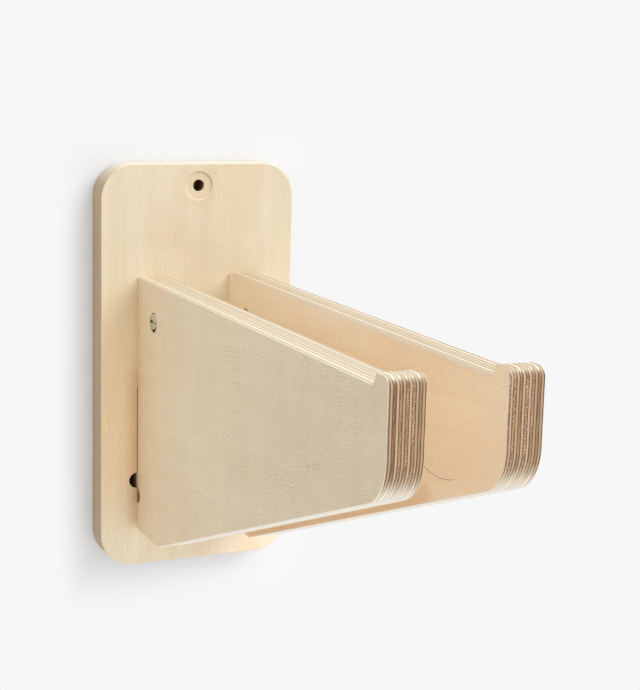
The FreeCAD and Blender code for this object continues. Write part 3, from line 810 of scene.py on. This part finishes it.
def makeNut(name, side):
    # the end's profile and its mirror image turned about x, less the slot in the end at -x and the cross hole
    half, r = nut["length"] / 2, nut["radius"]
    inset, deep = np.array(nut["end"]).T
    radii = np.concatenate([r - inset, [r], r - inset[::-1]])
    heights = np.concatenate([deep - half, [0], half - deep[::-1]])
    x, y, z = side * nut["at"][0], *nut["at"][1:]
    made = turned(name, radii, heights, (x, y, z), alongX, nut["steps"])
    w, floor, ease = nut["slotWidth"] / 2, nut["slotDepth"] - half, nut["slotRound"]
    corners = [(-half - overrun, -w), (floor, -w), (floor, w), (-half - overrun, w)]
    across = joinedOutline(*roundedCorners(corners, [0, ease, ease, 0], fine["slotSteps"])) + [x, z]
    # an outline in (x, z) faces -y, so this cutter is made mirrored and turned back
    slot = carriedAround("cutter", across, [0, 0], [-y - r - overrun, -y + r + overrun], (0, 2, 1))
    slot.data.transform(Matrix.Scale(-1, 4, (0, 1, 0)))
    reach = [y - r - overrun, y + r + overrun]
    cross = turned("cutter", [nut["threadRadius"]] * 2, reach, (x, 0, z), alongY, nut["steps"])
    carve(made, [slot, cross])
    return made


bolt = {
    "headFace": -1.5, "headUnder": -4.0, "headRadius": 7.5, "rim": 0.8, "radius": 3.0, "length": 50.0,
    "point": 0.8, "pitch": 1.0, "threadDepth": 0.58, "threadFrom": 20.0, "threadRunOut": 2.0, "shankGap": 0.3,
    "grooveShape": (1.35, 0.15), "keyFlats": 4.0, "keyDepth": 3.5, "keyChamfer": 0.3, "steps": 60,
    "ringsPerTurn": 8, "underRim": ((0.25, 0.0), (0.05, 0.06), (0.0, 0.3)),  # how far in, and how far up
}
boltLook = {
    **zinc, "lines": (60, 900, 60, 2.0, 3, 0.6), "axis": (0, 0, nut["at"][2]), "square": (0, 0, 1),
    "clean": 20.0,  # wider than the head
}


def makeBolt(name, side):
    # head and shank are one turned profile; along the thread the radius also follows the angle, so that its
    # ridge winds round: the groove is deepest half a pitch from the ridge and fades out at both ends
    b, steps = bolt, bolt["steps"]
    r, head, rim, under = b["radius"], b["headRadius"], b["rim"], b["headUnder"]
    tipY, threadStart = under - b["length"], under - b["threadFrom"]
    pointY = tipY + b["point"]
    along = np.linspace(pointY, threadStart, int((threadStart - pointY) / b["pitch"] * b["ringsPerTurn"]) + 1)
    fadeOut = np.clip((threadStart - along) / b["threadRunOut"], 0, 1)
    fadeOut = fadeOut * np.clip((along - pointY) / b["point"], 0, 1)
    angle = np.arange(steps) * 2 * math.pi / steps
    phase = np.mod(along[:, None] / b["pitch"] + angle[None] / (2 * math.pi), 1.0)
    slope, flat = b["grooveShape"]
    groove = np.clip(np.abs(2 * phase - 1) * slope - flat, 0, 1)
    thread = r - b["threadDepth"] * groove * fadeOut[:, None]
    inset, rise = np.array(b["underRim"]).T
    quarter = np.radians(np.linspace(0, 90, fine["headSteps"] + 1))
    plainRadii = np.concatenate([[r, r], head - inset, head - rim * (1 - np.cos(quarter))])
    radii = np.vstack([np.full((1, steps), r - b["point"]), thread, np.repeat(plainRadii[:, None], steps, 1)])
    heights = np.concatenate([[tipY], along, [threadStart + b["shankGap"], under], under + rise,
                              b["headFace"] - rim * (1 - np.sin(quarter))])
    x, z = side * arm["middle"], nut["at"][2]
    made = turned(name, radii, heights, (x, 0, z), alongY, steps)
    face, chamfer = b["headFace"], b["keyChamfer"]
    hexagon = arc((z, x), b["keyFlats"] / math.sqrt(3), 0, 300, 5)
    depths = [face - b["keyDepth"], face - chamfer, face]
    key = carriedAround("cutter", hexagon, [0, 0, -chamfer], depths, alongY)
    carve(made, [key])
    return made


def zincPlate(name, look):
    # zinc-plated steel: cloudy plating, turned or drawn lines, a brighter worn rim that is also a painted
    # highlight, and dirt with painted shade further from the look's axis than its clean radius
    material, shader = newMaterial(name, {"Metallic": 1.0})
    point, clean = objectPoint(), look["clean"]
    lines = grain(point, *look["lines"])
    clouds = fade(noise(point, *look["clouds"]), *look["cloudRange"])
    color = blend(clouds, look["light"], look["dark"])
    color = blend(fade(lines, *look["lineRange"]), color, look["worn"])
    far = lengthOf(stretch(shift(point, [-v * mm for v in look["axis"]]), *look["square"]))
    worn = fade(far, *((clean + v) * mm for v in look["wornHighlightBand"]), 0.0, look["wornHighlightAmount"])
    color = blend(worn, color, look["worn"])
    color = blend(fade(far, *((clean + v) * mm for v in look["dirtAndShadeBand"])), color, look["dirtAndShade"])
    if "end" in look:
        # dirt and painted shade also sit in the slot near its two ends, below the end faces
        deep = size(minus(size(split(point)[0]), nut["at"][0] * mm))
        inside = fade(deep, *((look["end"] + v) * mm for v in look["slotBand"]), 1.0, 0.0)
        color = blend(times(inside, fade(far, *look["slotRange"])), color, look["dirtAndShade"])
    finishShader(shader, color, scaled(lines, *look["roughness"]), lines, *look["bump"])
    return material


nutMaterial, boltMaterial = zincPlate("zincPlatedNut", nutLook), zincPlate("zincPlatedBolt", boltLook)
for name, side in (("left", -1), ("right", 1)):
    made = makeNut(name + "BarrelNut", side)
    finishPiece(made, nutMaterial, name + "_barrel_nut", sharpAbove=30)
    made = makeBolt(name + "ConnectorBolt", side)
    finishPiece(made, boltMaterial, name + "_connector_bolt", sharpAbove=40)
print("nuts and bolts made")

room = {
    "wallGap": 0.4, "wallUnder": 1.0, "wallReach": 6000.0, "floorHeight": -420.0,
    "wallTone": tone(234, 236, 239),
    # the camera sees the wall's own shade beside the plate, the far tone past the glow, and white far away
    "farTone": tone(247, 247, 248), "glow": (-3.0, 25.0), "glowBelow": 0.62, "pale": (1500.0, 4500.0),
    # painted shade: the sheet behind the plate and the plugs behind the holes take this dark tone
    "sheetGap": 0.1, "sheetUnder": 0.5, "plugMargin": 0.6, "behindShadeTone": tone(136, 80, 40),
    "sky": {"base": 0.2, "up": 0.36, "down": 0.83, "left": 0.0, "right": 0.42, "front": 0.58, "back": 0.7},
    "keyFrom": (0.59, -0.45, 0.67), "keyStrength": 1.62, "keyAngle": 42.0,
}
camera = {
    "at": (-332.70155, -924.03193, 196.88626), "yaw": 24.54479, "pitch": 10.75048, "roll": 1.50493,
    "lens": 84.95992, "sensor": 36.0, "clip": (0.05, 100.0),
}


def makeStage(name, points, faces, color, bounces):
    # a plain sheet that shows only from its front; the camera sees it lighter further from the plate
    sheet = makeObject(name, points, faces)
    matt = {"Base Color": color, "Roughness": 0.9, "Specular IOR Level": 0.0}
    material, shader = newMaterial(name + "Paint", matt)
    point, halfHeight = objectPoint(), plate["height"] / 2 * mm
    x, _, z = split(point)
    across = calc("MAXIMUM", minus(size(x), plate["width"] / 2 * mm), 0.0)
    above = calc("MAXIMUM", minus(z, halfHeight), 0.0)
    below = calc("MINIMUM", calc("ADD", z, halfHeight), 0.0)
    away = lengthOf(joined(across, 0.0, scaled(below, room["glowBelow"], above)))
    share = fade(away, *(v * mm for v in room["glow"]))
    seen = addNode("ShaderNodeLightPath").outputs["Is Camera Ray"]
    pale = fade(lengthOf(point), *(v * mm for v in room["pale"]))
    glow = addNode("ShaderNodeEmission", {"Color": blend(pale, room["farTone"], white), "Strength": 1.0})
    paint = addNode("ShaderNodeMixShader", {0: times(seen, share), 1: shader.outputs[0],
                    2: glow.outputs[0]})
    behind = addNode("ShaderNodeNewGeometry").outputs["Backfacing"]
    clear = addNode("ShaderNodeBsdfTransparent").outputs[0]
    mixed = addNode("ShaderNodeMixShader", {0: behind, 1: paint.outputs[0], 2: clear}).outputs[0]
    feed(material.node_tree.nodes["Material Output"], {"Surface": mixed})
    sheet.data.materials.append(material)
    sheet.visible_diffuse = sheet.visible_glossy = sheet.visible_transmission = sheet.visible_shadow = bounces


def onWall(flat, y):
    # the points x, z of a flat outline at the depth y
    return np.stack([flat[:, 0], np.full(len(flat), y), flat[:, 1]], -1)


def makeRoom():
    # the wall is open behind the plate, so that the plate's back is lit in views from behind; painted shade: a
    # dark sheet, only for the camera, closes the opening from the front, and small dark plugs lie behind the
    # holes
    p, gap = plate, room["wallGap"]
    halfX, halfZ = p["width"] / 2, p["height"] / 2
    corners = [(-halfX, -halfZ), (halfX, -halfZ), (halfX, halfZ), (-halfX, halfZ)]
    footprint = joinedOutline(*roundedCorners(corners, [p["cornerRadius"]] * 4, fine["smallArcSteps"]))
    inward = mitres(footprint)
    index = np.arange(len(footprint))
    ahead = np.roll(index, -1)
    ring = np.stack([index, index + len(index), ahead + len(index), ahead], -1).tolist()
    flat = np.vstack([footprint + inward * room["wallUnder"], footprint - inward * room["wallReach"]])
    makeStage("wall", onWall(flat, gap), ring, room["wallTone"], True)
    flat = footprint + inward * room["sheetUnder"]
    points = onWall(flat, gap + room["sheetGap"])
    makeStage("shadeSheetBehindPlate", points, [index.tolist()], room["behindShadeTone"], False)
    cutter, low, high = p["cutter"], p["slotReliefZ"], p["slotTop"]
    near, far = p["slotX"]
    plugs = [(side * x, z) for pair, z in (((near, far), low), ((near + cutter, far - cutter), high))
             for side in (-1, 1) for x in pair]
    plugs = np.array([(0, z) for z in p["screwHoles"]] + plugs)
    steps = fine["discSteps"]
    disc = arc((0, 0), cutter + room["plugMargin"], 0, 360 - 360 / steps, steps - 1)
    flat = (plugs[:, None] + disc[None]).reshape(-1, 2)
    faces = np.arange(len(flat)).reshape(len(plugs), -1).tolist()
    makeStage("wallPlugs", onWall(flat, gap - room["sheetGap"]), faces, room["behindShadeTone"], True)
    points = [(x * room["wallReach"], y * room["wallReach"], room["floorHeight"])
              for x, y in ((-1, -1), (1, -1), (1, 1), (-1, 1))]
    makeStage("floor", points, [(0, 1, 2, 3)], room["wallTone"], False)


def lightRoom():
    # a soft sky with its own level in each direction, plain white wherever it is seen, and one broad lamp
    world = bpy.data.worlds.new("softStudio")
    bpy.context.scene.world = world
    world.use_nodes = True
    making["tree"], sky = world.node_tree, room["sky"]
    direction = split(addNode("ShaderNodeTexCoord").outputs["Generated"])
    level = sky["base"]
    for part, axis, sign in (("up", 2, 1), ("down", 2, -1), ("left", 0, -1), ("right", 0, 1),
                             ("front", 1, -1), ("back", 1, 1)):
        toward = calc("MAXIMUM", times(direction[axis], sign), 0.0)
        level = scaled(toward, sky[part], level)
    path = addNode("ShaderNodeLightPath").outputs
    mirrored = calc("MAXIMUM", path["Is Glossy Ray"], path["Is Transmission Ray"])
    level = either(calc("MAXIMUM", path["Is Camera Ray"], mirrored), level, 1.0)
    feed(world.node_tree.nodes["Background"], {"Strength": level, "Color": white})
    key = bpy.data.objects.new("key", bpy.data.lights.new("key", "SUN"))
    bpy.context.scene.collection.objects.link(key)
    key.data.energy, key.data.angle = room["keyStrength"], math.radians(room["keyAngle"])
    towards = np.array(room["keyFrom"]) / np.linalg.norm(room["keyFrom"])
    side = np.cross((0, 0, 1), towards)
    side /= np.linalg.norm(side)
    key.matrix_world = Matrix(np.column_stack([side, np.cross(towards, side), towards]).tolist()).to_4x4()


def placeCamera():
    # the camera looks along yaw to the right of +y and pitch down, turned by roll about that line
    eye = bpy.data.objects.new("camera", bpy.data.cameras.new("camera"))
    bpy.context.scene.collection.objects.link(eye)
    yaw, pitch, roll = (math.radians(camera[k]) for k in ("yaw", "pitch", "roll"))
    ahead = np.array([math.sin(yaw) * math.cos(pitch), math.cos(yaw) * math.cos(pitch), -math.sin(pitch)])
    level = np.array([math.cos(yaw), -math.sin(yaw), 0.0])
    over = np.cross(level, ahead)
    right = math.cos(roll) * level + math.sin(roll) * over
    over = -math.sin(roll) * level + math.cos(roll) * over
    turn = Matrix(np.column_stack([right, over, -ahead]).tolist()).to_4x4()
    eye.matrix_world = Matrix.Translation([v * mm for v in camera["at"]]) @ turn
    eye.data.sensor_width, eye.data.lens = camera["sensor"], camera["lens"]
    eye.data.clip_start, eye.data.clip_end = camera["clip"]
    bpy.context.scene.camera = eye


makeRoom()
lightRoom()
placeCamera()
bpy.context.scene.view_settings.view_transform = "Standard"
print("room, light and camera set")
